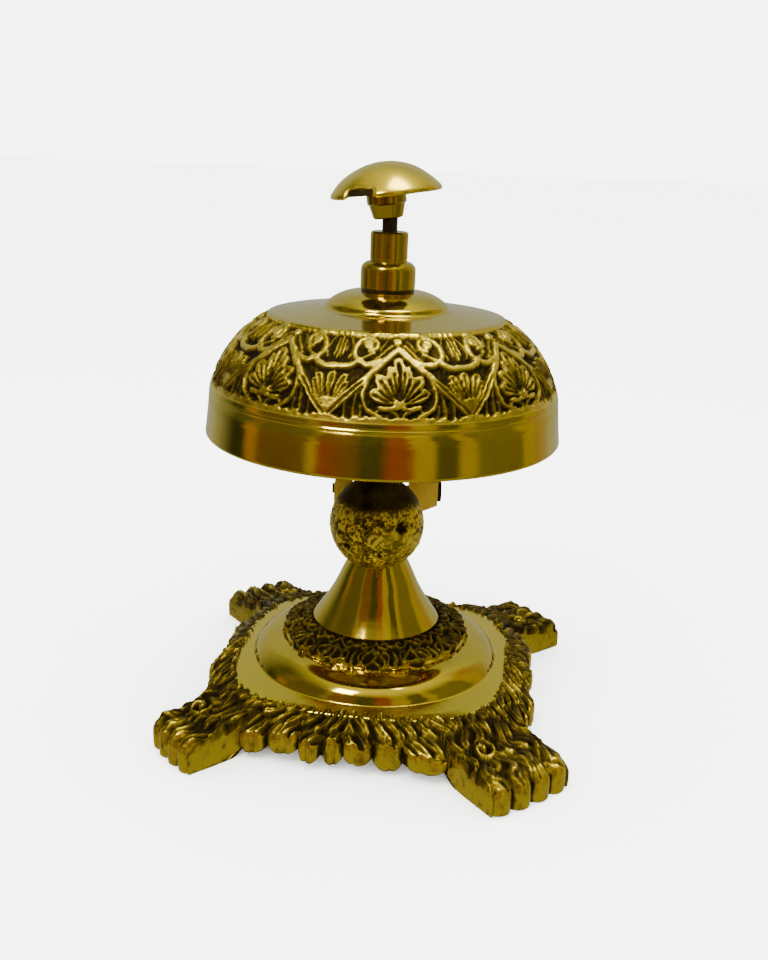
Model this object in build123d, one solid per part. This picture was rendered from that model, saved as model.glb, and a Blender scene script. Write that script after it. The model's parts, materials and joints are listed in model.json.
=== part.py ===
from build123d import *
import math
import os

# Counter service bell: a cast base on four paw feet, a spun cone post, a fork, a swinging ball
# hammer, a cast bell dome and a push knob.  Millimetres, +Z up, origin on the table under the post.
# The hammer swings in the YZ plane and the ball rests on the -Y side, which is the front.

# Base casting
side_turn = -7.75           # direction of the middle of the first side of the skirt
foot_top = 8.4
# Each pair of opposite feet: direction in degrees, reach to the toes, half width at toes and neck
foot_pairs = ((-54.0, 73.0, 12.6, 11.4), (38.5, 71.0, 10.6, 9.0))
toe_r = 3.1
toe_count = 4
knuckle_len = 8.0
knuckle_rise = 9.0          # degrees that each toe climbs towards the leg
skirt_r = 44.7
skirt_reach = 47.7          # centre to the lobe tips in the middle of a side
skirt_flare = 0.0065        # growth of that reach towards the feet, mm per square degree
skirt_bottom = 3.2
skirt_top = 11.6
lobe_r = 4.3
lobe_count = 7              # leaf lobes along the skirt between two feet
lobe_step = 9.4             # degrees from lobe to lobe
lobe_offsets = (0.0, 0.9, -0.5, 0.6, -0.9, 0.8, 0.2)
saucer_r = 41.2
saucer_z = 13.9
rosette_r = 27.6
rosette_z = 21.4
cone_seat_z = 25.2
base_boss_r = 9.5
base_boss_bottom = 10.0

# Post
cone_foot_r = 18.75
cone_neck_r = 6.9
cone_top = 50.0
tie_r = 3.0
tie_bottom = 2.8
tie_top = 57.0
tie_hole_r = 3.2
base_washer_r = 8.0
base_washer_t = 1.2
base_nut_flats = 10.0
base_nut_t = 5.0

# Fork
arm_inner = 8.2
arm_outer = 12.6
ear_left = 13.2
ear_right = 16.4
fork_half_depth = 6.5
fork_web_top = 60.0
ear_low = 61.0
ear_high = 70.0
arm_top = 103.0
bridge_t = 4.0
bridge_screw_r = 1.2
bridge_screw_head_r = 2.1
bridge_screw_len = 9.0

# Hammer
lever_r = 4.65              # pivot axis to the plunger's axis: the lobe keeps this lever arm constant
pivot_z = 95.0
pivot_pin_r = 1.6
pivot_clearance = 0.05
pin_head_r = 2.9
pin_head_t = 1.3
hub_r = 3.4
side_gap = 0.35
plate_half_width = 4.6
plate_front = -6.0
plate_back = -1.0
plate_low = 60.8
lobe_rise = 5.5             # pivot axis up to the plunger's end at rest
lobe_half_width = 3.0
ball_r = 13.0
ball_x = -0.6
ball_y = -20.0
ball_z = 62.2
neck_half_width = 4.0
stop_pin_r = 1.5
stop_pin_z = 65.0
stop_pin_gap = 0.05
stud_r = 2.2
stud_head_r = 3.2
stud_head_t = 1.4
stud_z = 70.0

# Bell dome
rim_r = 50.0
rim_z = 83.0
band_top_r = 48.7
band_top_z = 96.0
shoulder_r = 33.4
shoulder_z = 115.9
boss_r = 16.8
boss_z = 119.2
boss_step = 0.9
dome_seat_r = 8.6
dome_top = 122.8
dome_wall = 2.4
groove_depth = 0.45
stem_hole_r = 5.0

# Stem, collar and plunger
travel = 2.8
stem_r = 4.75
stem_bore_r = 3.4
stem_top = 130.0
flange_r = 7.0
flange_top = 109.4
stem_web_top = 106.0
seat_washer_t = 1.8
top_washer_r = 7.3
top_washer_t = 0.6
collar_r = 7.55
collar_neck_r = 5.15
collar_shoulder_low = 128.4
collar_shoulder_high = 130.7
collar_top = 138.7
rod_r = 2.1
running_gap = 0.05
rod_top = 147.6
rod_end_gap = 0.05
clip_t = 0.7
clip_r = 2.9
clip_groove_r = 1.7
spring_washer_r = 3.1
spring_washer_t = 1.0
spring_wire_r = 0.4
spring_r = 2.75
spring_turns = 9.5

# Knob
knob_lean = 7.5             # degrees: the knob sits crooked on the rod, leaning to -X
knob_x = -0.5
ferrule_bottom = 142.2
ferrule_low_r = 4.1
ferrule_high_r = 4.9
ferrule_taper_h = 3.6
ferrule_boss_r = 5.4
ferrule_h = 6.6
ferrule_stud_r = 2.9
ferrule_stud_h = 9.6
cap_r = 15.1
cap_edge_low = 6.2
cap_edge_high = 7.2
cap_h = 14.8
cap_hollow = 0.7


def turned(points):
    """Solid of revolution about Z from a closed outline of (radius, height) points."""
    with BuildPart() as result:
        with BuildSketch(Plane.XZ):
            with BuildLine():
                Polyline(*points, close=True)
            make_face()
        revolve(axis=Axis.Z)
    return result.part


def ring(outer, inner, low, high):
    """Flat-ended tube about Z."""
    solid = Cylinder(outer, high - low, align=(Align.CENTER, Align.CENTER, Align.MIN))
    if inner > 0:
        solid -= Cylinder(inner, high - low, align=(Align.CENTER, Align.CENTER, Align.MIN))
    return Pos(0, 0, low) * solid


def rod_x(radius, x0, x1, y, z):
    """Cylinder along X from x0 to x1."""
    length = x1 - x0
    return Pos((x0 + x1) / 2, y, z) * Rot(0, 90, 0) * Cylinder(radius, length)


def hexagon(flats, low, high):
    """Hexagonal prism about Z, given across its flats."""
    return Pos(0, 0, low) * extrude(RegularPolygon(flats / 2, 6, major_radius=False), high - low)


def block(x0, x1, y0, y1, z0, z1):
    """Box from its two corners."""
    corner = (Align.MIN, Align.MIN, Align.MIN)
    return Pos(x0, y0, z0) * Box(x1 - x0, y1 - y0, z1 - z0, align=corner)


def leaned(solid):
    """Put a solid drawn about Z from height 0 onto the crooked knob's axis."""
    return Pos(knob_x, 0, ferrule_bottom) * Rot(0, -knob_lean, 0) * solid


# ---- base casting -------------------------------------------------------------------------------

def saucer_body():
    """Turned body of the base: cone seat, leafy ring, bulged saucer, flat shelf and leaf slope."""
    with BuildPart() as body:
        with BuildSketch(Plane.XZ):
            with BuildLine():
                seat = Polyline((0, base_boss_bottom), (0, cone_seat_z), (cone_foot_r + 0.6, cone_seat_z),
                                (rosette_r - 1.2, rosette_z + 1.0), (rosette_r, rosette_z - 0.8))
                bulge = Spline(seat @ 1, (33.2, 18.4), (36.4, 14.8), tangents=[(1, -0.15), (0.35, -1)])
                Polyline(bulge @ 1, (saucer_r, saucer_z), (saucer_r + 0.3, saucer_z - 0.7),
                         (skirt_r + 0.9, skirt_top - 0.6), (skirt_r + 0.9, skirt_bottom),
                         (saucer_r + 0.3, skirt_bottom), (saucer_r - 0.2, 10.6), (34.0, 11.4),
                         (27.4, 17.4), (18.0, 21.0), (base_boss_r, 21.4),
                         (base_boss_r, base_boss_bottom), (0, base_boss_bottom))
            make_face()
        revolve(axis=Axis.Z)
    return body.part


def leaf_lobes(side):
    """The row of rounded leaf lobes along one side of the skirt."""
    lobes = []
    middle = (lobe_count - 1) / 2
    for i in range(lobe_count):
        angle = side + (i - middle) * lobe_step
        flare = skirt_flare * ((i - middle) * lobe_step) ** 2
        radius = skirt_reach - lobe_r + flare + lobe_offsets[i]
        low = skirt_bottom - 0.4 * (i % 3)
        high = skirt_top - 0.5 * (i % 2)
        lobes.append(Rot(0, 0, angle) * Pos(radius, 0, 0) * ring(lobe_r, 0, low, high))
    return lobes


def paw_foot(angle, reach, half_width, neck_half_width):
    """One lion-paw foot: a tapered block with four round toes at its front."""
    with BuildPart() as paw:
        with BuildSketch(Plane.XZ):
            with BuildLine():
                Polyline((36, 6.5), (36, 12.0), (saucer_r, 12.6), (48, 11.8), (58, 9.4),
                         (reach - toe_r, foot_top), (reach - toe_r, 0), (50, 0),
                         (45, skirt_bottom), close=True)
            make_face()
        extrude(amount=half_width, both=True)
        with BuildSketch() as plan:
            with BuildLine():
                Polyline((36, -neck_half_width), (50, -neck_half_width),
                         (62, -half_width), (reach, -half_width),
                         (reach, half_width), (62, half_width),
                         (50, neck_half_width), (36, neck_half_width), close=True)
            make_face()
        extrude(amount=foot_top + 10, mode=Mode.INTERSECT)
    solid = paw.part
    span = 2 * (half_width - toe_r + 0.2)
    for i in range(toe_count):
        across = -span / 2 + span * i / (toe_count - 1)
        front = reach - toe_r - 0.6 * abs(across) / half_width
        toe = ring(toe_r, 0, 0, foot_top - 1.0)
        toe += Pos(0, 0, foot_top - 1.0) * Sphere(toe_r - 0.05)
        knuckle = Rot(0, 90 - knuckle_rise, 0) * Cylinder(
            toe_r - 0.3, knuckle_len, align=(Align.CENTER, Align.CENTER, Align.MAX))
        toe += Pos(0, 0, foot_top - 1.0) * knuckle
        solid += Pos(front, across, 0) * toe
    return Rot(0, 0, angle) * solid


def base_casting():
    body = saucer_body()
    for quarter in range(4):
        for lobe in leaf_lobes(side_turn + 90 * quarter):
            body += lobe
    for direction, reach, half_width, neck_half_width in foot_pairs:
        body += paw_foot(direction, reach, half_width, neck_half_width)
        body += paw_foot(direction + 180, reach, half_width, neck_half_width)
    hollow = turned([(base_boss_r, -1), (base_boss_r, 21.4), (18.0, 21.0), (27.4, 17.4),
                     (34.0, 11.4), (saucer_r - 0.2, 10.6), (saucer_r - 0.2, -1)])
    body -= hollow
    body -= ring(tie_hole_r, 0, -1, cone_seat_z + 1)
    return body


def pedestal_cone():
    with BuildPart() as cone:
        with BuildSketch(Plane.XZ):
            with BuildLine():
                foot = Polyline((tie_hole_r, cone_seat_z), (cone_foot_r, cone_seat_z),
                                (cone_foot_r, cone_seat_z + 0.9))
                flare = Spline(foot @ 1, (12.5, 35.8), (9.6, 42.2), (cone_neck_r, cone_top - 1.0),
                               tangents=[(-0.75, 1), (-0.15, 1)])
                Polyline(flare @ 1, (cone_neck_r, cone_top), (tie_hole_r, cone_top),
                         (tie_hole_r, cone_seat_z))
            make_face()
        revolve(axis=Axis.Z)
    return cone.part


def tie_rod():
    return chamfer_ends(ring(tie_r, 0, tie_bottom, tie_top), 0.4)


def chamfer_ends(solid, size):
    """Break the sharp edges at the top and bottom of an upright turned piece."""
    ends = solid.edges().filter_by(GeomType.CIRCLE).group_by(Axis.Z)
    return chamfer(list(ends[0]) + list(ends[-1]), size)


def base_washer():
    low = base_boss_bottom - base_washer_t
    return ring(base_washer_r, tie_r, low, base_boss_bottom)


def base_nut():
    high = base_boss_bottom - base_washer_t
    return hexagon(base_nut_flats, high - base_nut_t, high) - ring(tie_r, 0, 0, high + 1)


# ---- fork ---------------------------------------------------------------------------------------

def fork():
    """Casting with two arms that carry the stop pin, the hammer pivot and the bridge."""
    with BuildPart() as casting:
        with BuildSketch(Plane.XZ):
            with BuildLine():
                Polyline((-cone_neck_r + 0.2, cone_top), (cone_neck_r - 0.2, cone_top), (9.4, 57.2),
                         (ear_right - 4, ear_low + 0.2), (ear_right, ear_low + 1.9),
                         (ear_right, ear_high), (arm_outer, ear_high + 4.5),
                         (arm_outer, arm_top), (arm_inner, arm_top), (arm_inner, fork_web_top),
                         (-arm_inner, fork_web_top), (-arm_inner, arm_top), (-arm_outer, arm_top),
                         (-arm_outer, ear_high + 1.0), (-ear_left, ear_high - 2), (-ear_left, ear_low),
                         (-8.6, 57.2), close=True)
            make_face()
        extrude(amount=fork_half_depth, both=True)
    solid = casting.part
    solid -= ring(tie_r, 0, cone_top - 1, tie_top)
    solid -= rod_x(pivot_pin_r, -20, 20, -lever_r, pivot_z)
    solid -= rod_x(stop_pin_r, -20, 20, stop_pin_y(), stop_pin_z)
    for side in (-1, 1):
        x = side * (arm_inner + arm_outer) / 2
        solid -= Pos(x, 0, 0) * ring(bridge_screw_r, 0, screw_bottom(), arm_top + 1)
    return solid


def screw_bottom():
    return arm_top + bridge_t - bridge_screw_len


def stop_pin_y():
    return plate_back + stop_pin_gap + stop_pin_r


def bridge():
    """Flat plate across the arm tops that carries the threaded stem."""
    plate = block(-arm_outer, arm_outer, -fork_half_depth, fork_half_depth, arm_top, arm_top + bridge_t)
    plate -= ring(stem_r, 0, arm_top - 1, arm_top + bridge_t + 1)
    for side in (-1, 1):
        x = side * (arm_inner + arm_outer) / 2
        plate -= Pos(x, 0, 0) * ring(bridge_screw_r, 0, arm_top - 1, arm_top + bridge_t + 1)
    return plate


def bridge_screw(side):
    x = side * (arm_inner + arm_outer) / 2
    top = arm_top + bridge_t
    screw = ring(bridge_screw_r, 0, screw_bottom() + 0.2, top)
    head = ring(bridge_screw_head_r, 0, top, top + 1.5)
    slot = block(-3, 3, -0.3, 0.3, top + 0.8, top + 2)
    return Pos(x, 0, 0) * (screw + head - slot)


def pivot_pin():
    """Pin through the fork's arms and the hammer's hub, with a head at +X."""
    pin = rod_x(pivot_pin_r, -arm_outer - pin_head_t, arm_outer, -lever_r, pivot_z)
    head = rod_x(pin_head_r, arm_outer, arm_outer + pin_head_t, -lever_r, pivot_z)
    return pin + head


def pivot_nut():
    nut = Rot(0, -90, 0) * hexagon(5.5, 0, pin_head_t)
    nut = Pos(-arm_outer, -lever_r, pivot_z) * nut
    return nut - rod_x(pivot_pin_r, -20, 0, -lever_r, pivot_z)


def stop_pin():
    """Pin through both ears that the hammer's plate rests against, with a head at +X."""
    pin = rod_x(stop_pin_r, -ear_left - 0.8, ear_right, stop_pin_y(), stop_pin_z)
    head = rod_x(pin_head_r, ear_right, ear_right + pin_head_t, stop_pin_y(), stop_pin_z)
    return pin + head


# ---- hammer -------------------------------------------------------------------------------------

def involute_point(angle):
    """Lobe outline: contact with the plunger's flat end when the hammer has turned by this angle."""
    rise = lobe_rise - lever_r * angle
    back = lever_r * math.cos(angle) - rise * math.sin(angle)
    up = lever_r * math.sin(angle) + rise * math.cos(angle)
    return (back - lever_r, up + pivot_z)


def hammer_lobe():
    """Tail behind the pivot whose involute top turns the plunger's stroke into an even swing."""
    angles = [0.8 - 0.12 * i for i in range(10)]
    with BuildPart() as lobe:
        with BuildSketch(Plane.YZ):
            with BuildLine():
                crown = Spline(*[involute_point(a) for a in angles])
                Polyline(crown @ 1, (2.4, pivot_z + 3.2), (1.2, pivot_z + 0.4),
                         (-lever_r + 1.0, pivot_z - 2.6), (-lever_r - 1.5, pivot_z + 2.0), crown @ 0)
            make_face()
        extrude(amount=lobe_half_width, both=True)
    return lobe.part


def hammer_arm():
    """Hub on the pivot pin, plate hanging from it, lobe behind and neck forward into the ball."""
    hub_half = arm_inner - side_gap
    arm = rod_x(hub_r, -hub_half, hub_half, -lever_r, pivot_z)
    arm += block(-plate_half_width + ball_x, plate_half_width + ball_x, plate_front, plate_back,
                 plate_low, pivot_z - 1.0)
    arm += block(ball_x - neck_half_width, ball_x + neck_half_width, ball_y + ball_r - 3.0,
                 plate_front + 0.5, plate_low + 1.5, plate_low + 12.5)
    arm += hammer_lobe()
    arm -= rod_x(pivot_pin_r + pivot_clearance, -20, 20, -lever_r, pivot_z)
    return arm - stud_solid()


def stud_solid():
    """Shank and head of the stud that holds the ball, along Y from behind the plate."""
    on_face = (Align.CENTER, Align.CENTER, Align.MIN)
    shank = Rot(90, 0, 0) * Cylinder(stud_r, plate_back - ball_y, align=on_face)
    head = Rot(-90, 0, 0) * Cylinder(stud_head_r, stud_head_t, align=on_face)
    return Pos(ball_x, plate_back, stud_z) * (shank + head)


def hammer_ball():
    ball = Pos(ball_x, ball_y, ball_z) * Sphere(ball_r)
    return ball - hammer_arm() - stud_solid()


# ---- bell dome ----------------------------------------------------------------------------------

def dome_outline(inset):
    """Half outline of the dome from rim to seat, moved inward by the wall thickness."""
    rim = (rim_r - inset, rim_z)
    band = (band_top_r - inset, band_top_z)
    haunch = (44.9 - 0.86 * inset, 105.0 - 0.52 * inset)
    shoulder = (shoulder_r - 0.4 * inset, shoulder_z - 0.95 * inset)
    crown = (boss_r + 0.4, boss_z - boss_step - inset)
    return rim, band, haunch, shoulder, crown


def dome_solid(inset, boss):
    """Solid under one of the dome's two surfaces; boss adds the raised centre."""
    rim, band, haunch, shoulder, crown = dome_outline(inset)
    with BuildPart() as solid:
        with BuildSketch(Plane.XZ):
            with BuildLine():
                side = Polyline((0, rim_z), rim, band)
                curve = Spline(side @ 1, haunch, shoulder, tangents=[(-0.12, 1), (-1, 0.5)])
                if boss:
                    Polyline(curve @ 1, crown, (boss_r, boss_z), (12.4, dome_top - 0.9),
                             (dome_seat_r, dome_top), (0, dome_top), (0, rim_z))
                else:
                    Polyline(curve @ 1, crown, (11.0, dome_top - inset - 0.4),
                             (0, dome_top - inset - 0.4), (0, rim_z))
            make_face()
        revolve(axis=Axis.Z)
    return solid.part


def dome():
    bell = dome_solid(0, True) - dome_solid(dome_wall, False)
    bell -= ring(stem_hole_r, 0, rim_z, dome_top + 1)
    for height in (band_top_z - 0.9, band_top_z + 0.5):
        bell -= ring(rim_r + 5, band_top_r - groove_depth, height, height + 0.45)
    return bell


# ---- stem, washers and collar -------------------------------------------------------------------

def dome_underside():
    return dome_top - dome_wall - 0.4


def stem():
    """Threaded tube that carries the dome and holds the spring round the plunger."""
    tube = ring(stem_r, stem_bore_r, stem_web_top, stem_top)
    tube += ring(stem_r, rod_r + running_gap, arm_top, stem_web_top)
    tube += ring(flange_r, stem_r - 0.5, arm_top + bridge_t, flange_top)
    return tube


def spacer():
    return ring(flange_r, stem_r + 0.1, flange_top, dome_underside() - seat_washer_t)


def seat_washer():
    return ring(flange_r + 2.0, stem_r + 0.1, dome_underside() - seat_washer_t, dome_underside())


def top_washer():
    return ring(top_washer_r, stem_r + 0.1, dome_top, dome_top + top_washer_t)


def collar():
    """Turned nut above the dome: wide foot, round shoulder and a narrow neck that guides the rod."""
    foot = dome_top + top_washer_t
    with BuildPart() as nut:
        with BuildSketch(Plane.XZ):
            with BuildLine():
                wall = Polyline((rod_r + running_gap, foot), (collar_r - 0.3, foot),
                                (collar_r, foot + 0.3), (collar_r, collar_shoulder_low))
                turn = Spline(wall @ 1, (6.9, 129.9), (collar_neck_r, collar_shoulder_high),
                              tangents=[(0, 1), (-1, 0)])
                Polyline(turn @ 1, (collar_neck_r - 0.1, collar_shoulder_high + 0.5),
                         (collar_neck_r, collar_shoulder_high + 1.0),
                         (collar_neck_r, collar_top - 0.4), (collar_neck_r - 0.4, collar_top),
                         (rod_r + running_gap, collar_top), (rod_r + running_gap, foot))
            make_face()
        revolve(axis=Axis.Z)
    return nut.part - ring(stem_r, 0, foot - 1, stem_top + 0.05)


# ---- plunger ------------------------------------------------------------------------------------

def rod_bottom():
    return pivot_z + lobe_rise + rod_end_gap


def plunger_rod():
    rod = chamfer_ends(ring(rod_r, 0, rod_bottom(), rod_top), 0.15)
    groove = ring(rod_r + 1, clip_groove_r, stem_top - clip_t, stem_top)
    return rod - groove


def spring_clip():
    clip = ring(clip_r, clip_groove_r, stem_top - clip_t, stem_top)
    return clip - block(-0.9, 0.9, 0, clip_r + 1, stem_top - 2, stem_top + 1)


def spring_washer():
    high = stem_top - clip_t
    return ring(spring_washer_r, rod_r, high - spring_washer_t, high)


def plunger_spring():
    low = stem_web_top + spring_wire_r
    high = stem_top - clip_t - spring_washer_t - spring_wire_r
    coil = Helix((high - low) / spring_turns, high - low, spring_r)
    start = Plane(origin=coil @ 0, z_dir=coil % 0)
    return Pos(0, 0, low) * sweep(start * Circle(spring_wire_r), path=coil)


def ferrule_outline():
    return [(0, 0), (ferrule_low_r - 0.3, 0), (ferrule_low_r, 0.3),
            (ferrule_high_r, ferrule_taper_h), (ferrule_boss_r, ferrule_taper_h + 0.4),
            (ferrule_boss_r, ferrule_h), (ferrule_stud_r, ferrule_h),
            (ferrule_stud_r, ferrule_stud_h), (0, ferrule_stud_h)]


def knob_ferrule():
    return leaned(turned(ferrule_outline())) - ring(rod_r, 0, rod_bottom(), rod_top)


def crown_middle():
    """Point half way up the round crown, whose centre lies on the knob's axis."""
    rise = cap_h - cap_edge_high
    crown_r = (cap_r ** 2 + rise ** 2) / (2 * rise)
    half_angle = math.asin(cap_r / crown_r) / 2
    return crown_r * math.sin(half_angle), cap_h - crown_r + crown_r * math.cos(half_angle)


def knob_cap():
    """Mushroom cap with a shallow hollow underneath."""
    with BuildPart() as cap:
        with BuildSketch(Plane.XZ):
            with BuildLine():
                under = Polyline((0, ferrule_h), (ferrule_boss_r + 1.2, ferrule_h))
                hollow = Spline(under @ 1, (10.5, ferrule_h + cap_hollow - 0.2), (cap_r - 0.5, cap_edge_low),
                                tangents=[(1, 0.25), (1, -0.4)])
                edge = Polyline(hollow @ 1, (cap_r, cap_edge_low + 0.4), (cap_r, cap_edge_high))
                crown = ThreePointArc(edge @ 1, crown_middle(), (0, cap_h))
                Line(crown @ 1, (0, ferrule_h))
            make_face()
        revolve(axis=Axis.Z)
    return leaned(cap.part) - leaned(turned(ferrule_outline())) - ring(rod_r, 0, rod_bottom(), rod_top)


nodes = {
    "base_casting": base_casting(),
    "base_washer": base_washer(),
    "base_nut": base_nut(),
    "tie_rod": tie_rod(),
    "pedestal_cone": pedestal_cone(),
    "fork": fork(),
    "bridge": bridge(),
    "bridge_screw_left": bridge_screw(-1),
    "bridge_screw_right": bridge_screw(1),
    "pivot_pin": pivot_pin(),
    "pivot_nut": pivot_nut(),
    "stop_pin": stop_pin(),
    "stem": stem(),
    "stem_spacer": spacer(),
    "seat_washer": seat_washer(),
    "dome": dome(),
    "top_washer": top_washer(),
    "collar": collar(),
    "hammer_arm": hammer_arm(),
    "hammer_ball": hammer_ball(),
    "hammer_stud": stud_solid(),
    "plunger_rod": plunger_rod(),
    "spring_clip": spring_clip(),
    "spring_washer": spring_washer(),
    "plunger_spring": plunger_spring(),
    "knob_ferrule": knob_ferrule(),
    "knob_cap": knob_cap(),
}

os.makedirs("parts", exist_ok=True)
for name, shape in nodes.items():
    export_step(shape, f"parts/{name}.step")
    print(name, round(shape.volume, 2))
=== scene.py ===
import json
import math

import bmesh
import bpy
import numpy as np
from mathutils import Matrix, Vector


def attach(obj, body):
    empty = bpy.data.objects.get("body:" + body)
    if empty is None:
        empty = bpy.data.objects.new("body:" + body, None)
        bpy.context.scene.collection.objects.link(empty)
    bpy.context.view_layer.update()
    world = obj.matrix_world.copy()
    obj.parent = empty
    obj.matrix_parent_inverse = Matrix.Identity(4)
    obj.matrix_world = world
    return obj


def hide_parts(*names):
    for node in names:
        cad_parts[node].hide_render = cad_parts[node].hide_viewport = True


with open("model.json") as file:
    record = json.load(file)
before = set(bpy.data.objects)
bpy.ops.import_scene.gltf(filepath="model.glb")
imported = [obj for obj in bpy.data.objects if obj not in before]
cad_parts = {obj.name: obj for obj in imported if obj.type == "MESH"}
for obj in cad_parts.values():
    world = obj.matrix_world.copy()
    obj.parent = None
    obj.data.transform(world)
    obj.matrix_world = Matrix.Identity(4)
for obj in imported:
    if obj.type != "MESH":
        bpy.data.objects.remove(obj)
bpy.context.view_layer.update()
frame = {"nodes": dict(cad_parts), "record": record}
RNG = np.random.default_rng(7)
MM = 0.001

# ---- sizes, in millimetres ----------------------------------------------------------------------
RIM_Z = 83.0
BAND_TOP = (48.7, 96.0)
SHOULDER = (33.4, 115.9)
BOSS = (16.8, 119.2)
DOME_TOP = 122.8
DOME_REPEATS = 8
DOME_TURN = math.radians(5.0)       # where the front arch of the frieze points, from the front


# ---- small tools --------------------------------------------------------------------------------
def smooth(low, high, value):
    """Smooth step from 0 at low to 1 at high."""
    t = np.clip((value - low) / (high - low), 0.0, 1.0)
    return t * t * (3 - 2 * t)


def hash_noise(ix, iy, iz, seed):
    """One random number in 0..1 for each whole-number lattice point."""
    n = (ix * 374761393 + iy * 668265263 + iz * 2147483647 + seed * 1274126177) & 0xFFFFFFFF
    n = ((n ^ (n >> 13)) * 1274126177) & 0xFFFFFFFF
    return ((n ^ (n >> 16)) & 0xFFFF) / 65535.0


def noise(x, y, z, seed=0):
    """Smooth value noise in -1..1."""
    ix, iy, iz = np.floor(x).astype(np.int64), np.floor(y).astype(np.int64), np.floor(z).astype(np.int64)
    fx, fy, fz = x - ix, y - iy, z - iz
    fx, fy, fz = (f * f * (3 - 2 * f) for f in (fx, fy, fz))
    total = 0.0
    for dx in (0, 1):
        for dy in (0, 1):
            for dz in (0, 1):
                weight = (fx if dx else 1 - fx) * (fy if dy else 1 - fy) * (fz if dz else 1 - fz)
                total = total + weight * hash_noise(ix + dx, iy + dy, iz + dz, seed)
    return total * 2 - 1


def fractal(x, y, z, octaves=4, seed=0):
    """Several octaves of noise added up, in about -1..1."""
    total, gain = 0.0, 0.5
    for i in range(octaves):
        total = total + gain * noise(x * 2 ** i, y * 2 ** i, z * 2 ** i, seed + i)
        gain *= 0.5
    return total


def bezier(p0, p1, p2, p3, count):
    """Points along one cubic curve."""
    t = np.linspace(0, 1, count)[:, None]
    p0, p1, p2, p3 = (np.array(p, float) for p in (p0, p1, p2, p3))
    return (1 - t) ** 3 * p0 + 3 * (1 - t) ** 2 * t * p1 + 3 * (1 - t) * t ** 2 * p2 + t ** 3 * p3


def spline(points, per=8):
    """A smooth curve through the given points (Catmull-Rom)."""
    pts = np.array(points, float)
    pts = np.vstack([2 * pts[0] - pts[1], pts, 2 * pts[-1] - pts[-2]])
    out = []
    for i in range(1, len(pts) - 2):
        t = np.linspace(0, 1, per, endpoint=False)[:, None]
        a, b, c, d = pts[i - 1], pts[i], pts[i + 1], pts[i + 2]
        out.append(0.5 * (2 * b + (c - a) * t + (2 * a - 5 * b + 4 * c - d) * t ** 2
                          + (3 * b - a - 3 * c + d) * t ** 3))
    return np.vstack(out + [pts[-2][None]])


def resample(points, count=None, step=None):
    """Evenly spaced points along a polyline, and their distances along it."""
    pts = np.array(points, float)
    gone = np.r_[0, np.cumsum(np.linalg.norm(np.diff(pts, axis=0), axis=1))]
    if count is None:
        count = max(2, int(round(gone[-1] / step)) + 1)
    at = np.linspace(0, gone[-1], count)
    return np.stack([np.interp(at, gone, pts[:, i]) for i in range(pts.shape[1])], axis=1), at


def away(x, y, path):
    """Distance of every (x, y) from a polyline."""
    best = np.full(np.shape(x), 1e9)
    for (ax, ay), (bx, by) in zip(path[:-1], path[1:]):
        dx, dy = bx - ax, by - ay
        t = np.clip(((x - ax) * dx + (y - ay) * dy) / (dx * dx + dy * dy + 1e-12), 0, 1)
        best = np.minimum(best, np.hypot(x - ax - t * dx, y - ay - t * dy))
    return best


def ridge(x, y, path, half, edge=0.45):
    """A raised rounded strip along a path: 1 along the middle, 0 outside."""
    d = away(x, y, path)
    return (1 - smooth(half - edge * half, half + 0.22, d)) * (1 - 0.16 * np.clip(d / half, 0, 1) ** 2)


def disc(x, y, cx, cy, r, edge=0.3):
    return 1 - smooth(r - edge, r + 0.1, np.hypot(x - cx, y - cy))


def loop_mesh(name, points, values, body, slot_name, *nodes):
    """Closed mesh from a (rows, columns, 3) grid in millimetres that wraps round both ways."""
    rows, cols = points.shape[:2]
    index = np.arange(rows * cols).reshape(rows, cols)
    a, b = index, np.roll(index, -1, 1)
    c, d = np.roll(b, -1, 0), np.roll(a, -1, 0)
    faces = np.stack([a, b, c, d], -1).reshape(-1, 4)
    flat = points.reshape(-1, 3) * MM
    p = flat[faces]
    volume = np.einsum("ij,ij->i", p[:, 0], np.cross(p[:, 1], p[:, 2])).sum()
    volume += np.einsum("ij,ij->i", p[:, 0], np.cross(p[:, 2], p[:, 3])).sum()
    if volume < 0:
        faces = faces[:, ::-1]
    return new_piece(name, flat, faces, values.reshape(-1), body, slot_name, *nodes)


def new_piece(name, verts, faces, values, body, slot_name, *nodes):
    """Mesh object with a relief value at each vertex, riding on a body in place of CAD nodes."""
    mesh = bpy.data.meshes.new(name)
    mesh.vertices.add(len(verts))
    mesh.vertices.foreach_set("co", np.ascontiguousarray(verts, np.float32).ravel())
    size = faces.shape[1]
    mesh.loops.add(faces.size)
    mesh.loops.foreach_set("vertex_index", np.ascontiguousarray(faces, np.int32).ravel())
    mesh.polygons.add(len(faces))
    mesh.polygons.foreach_set("loop_start", np.arange(0, faces.size, size, dtype=np.int32))
    mesh.polygons.foreach_set("use_smooth", np.ones(len(faces), bool))
    mesh.update(calc_edges=True)
    mesh.validate()
    layer = mesh.attributes.new("relief", "FLOAT", "POINT")
    layer.data.foreach_set("value", np.ascontiguousarray(values, np.float32))
    obj = bpy.data.objects.new(name, mesh)
    bpy.context.scene.collection.objects.link(obj)
    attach(obj, body)
    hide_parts(*nodes)
    return obj


def outward(profile):
    """Unit normals, pointing out, of an outline of (radius, height) points that runs downwards."""
    step = np.gradient(profile, axis=0)
    step /= np.linalg.norm(step, axis=1)[:, None] + 1e-12
    return np.stack([-step[:, 1], step[:, 0]], axis=1)


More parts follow.
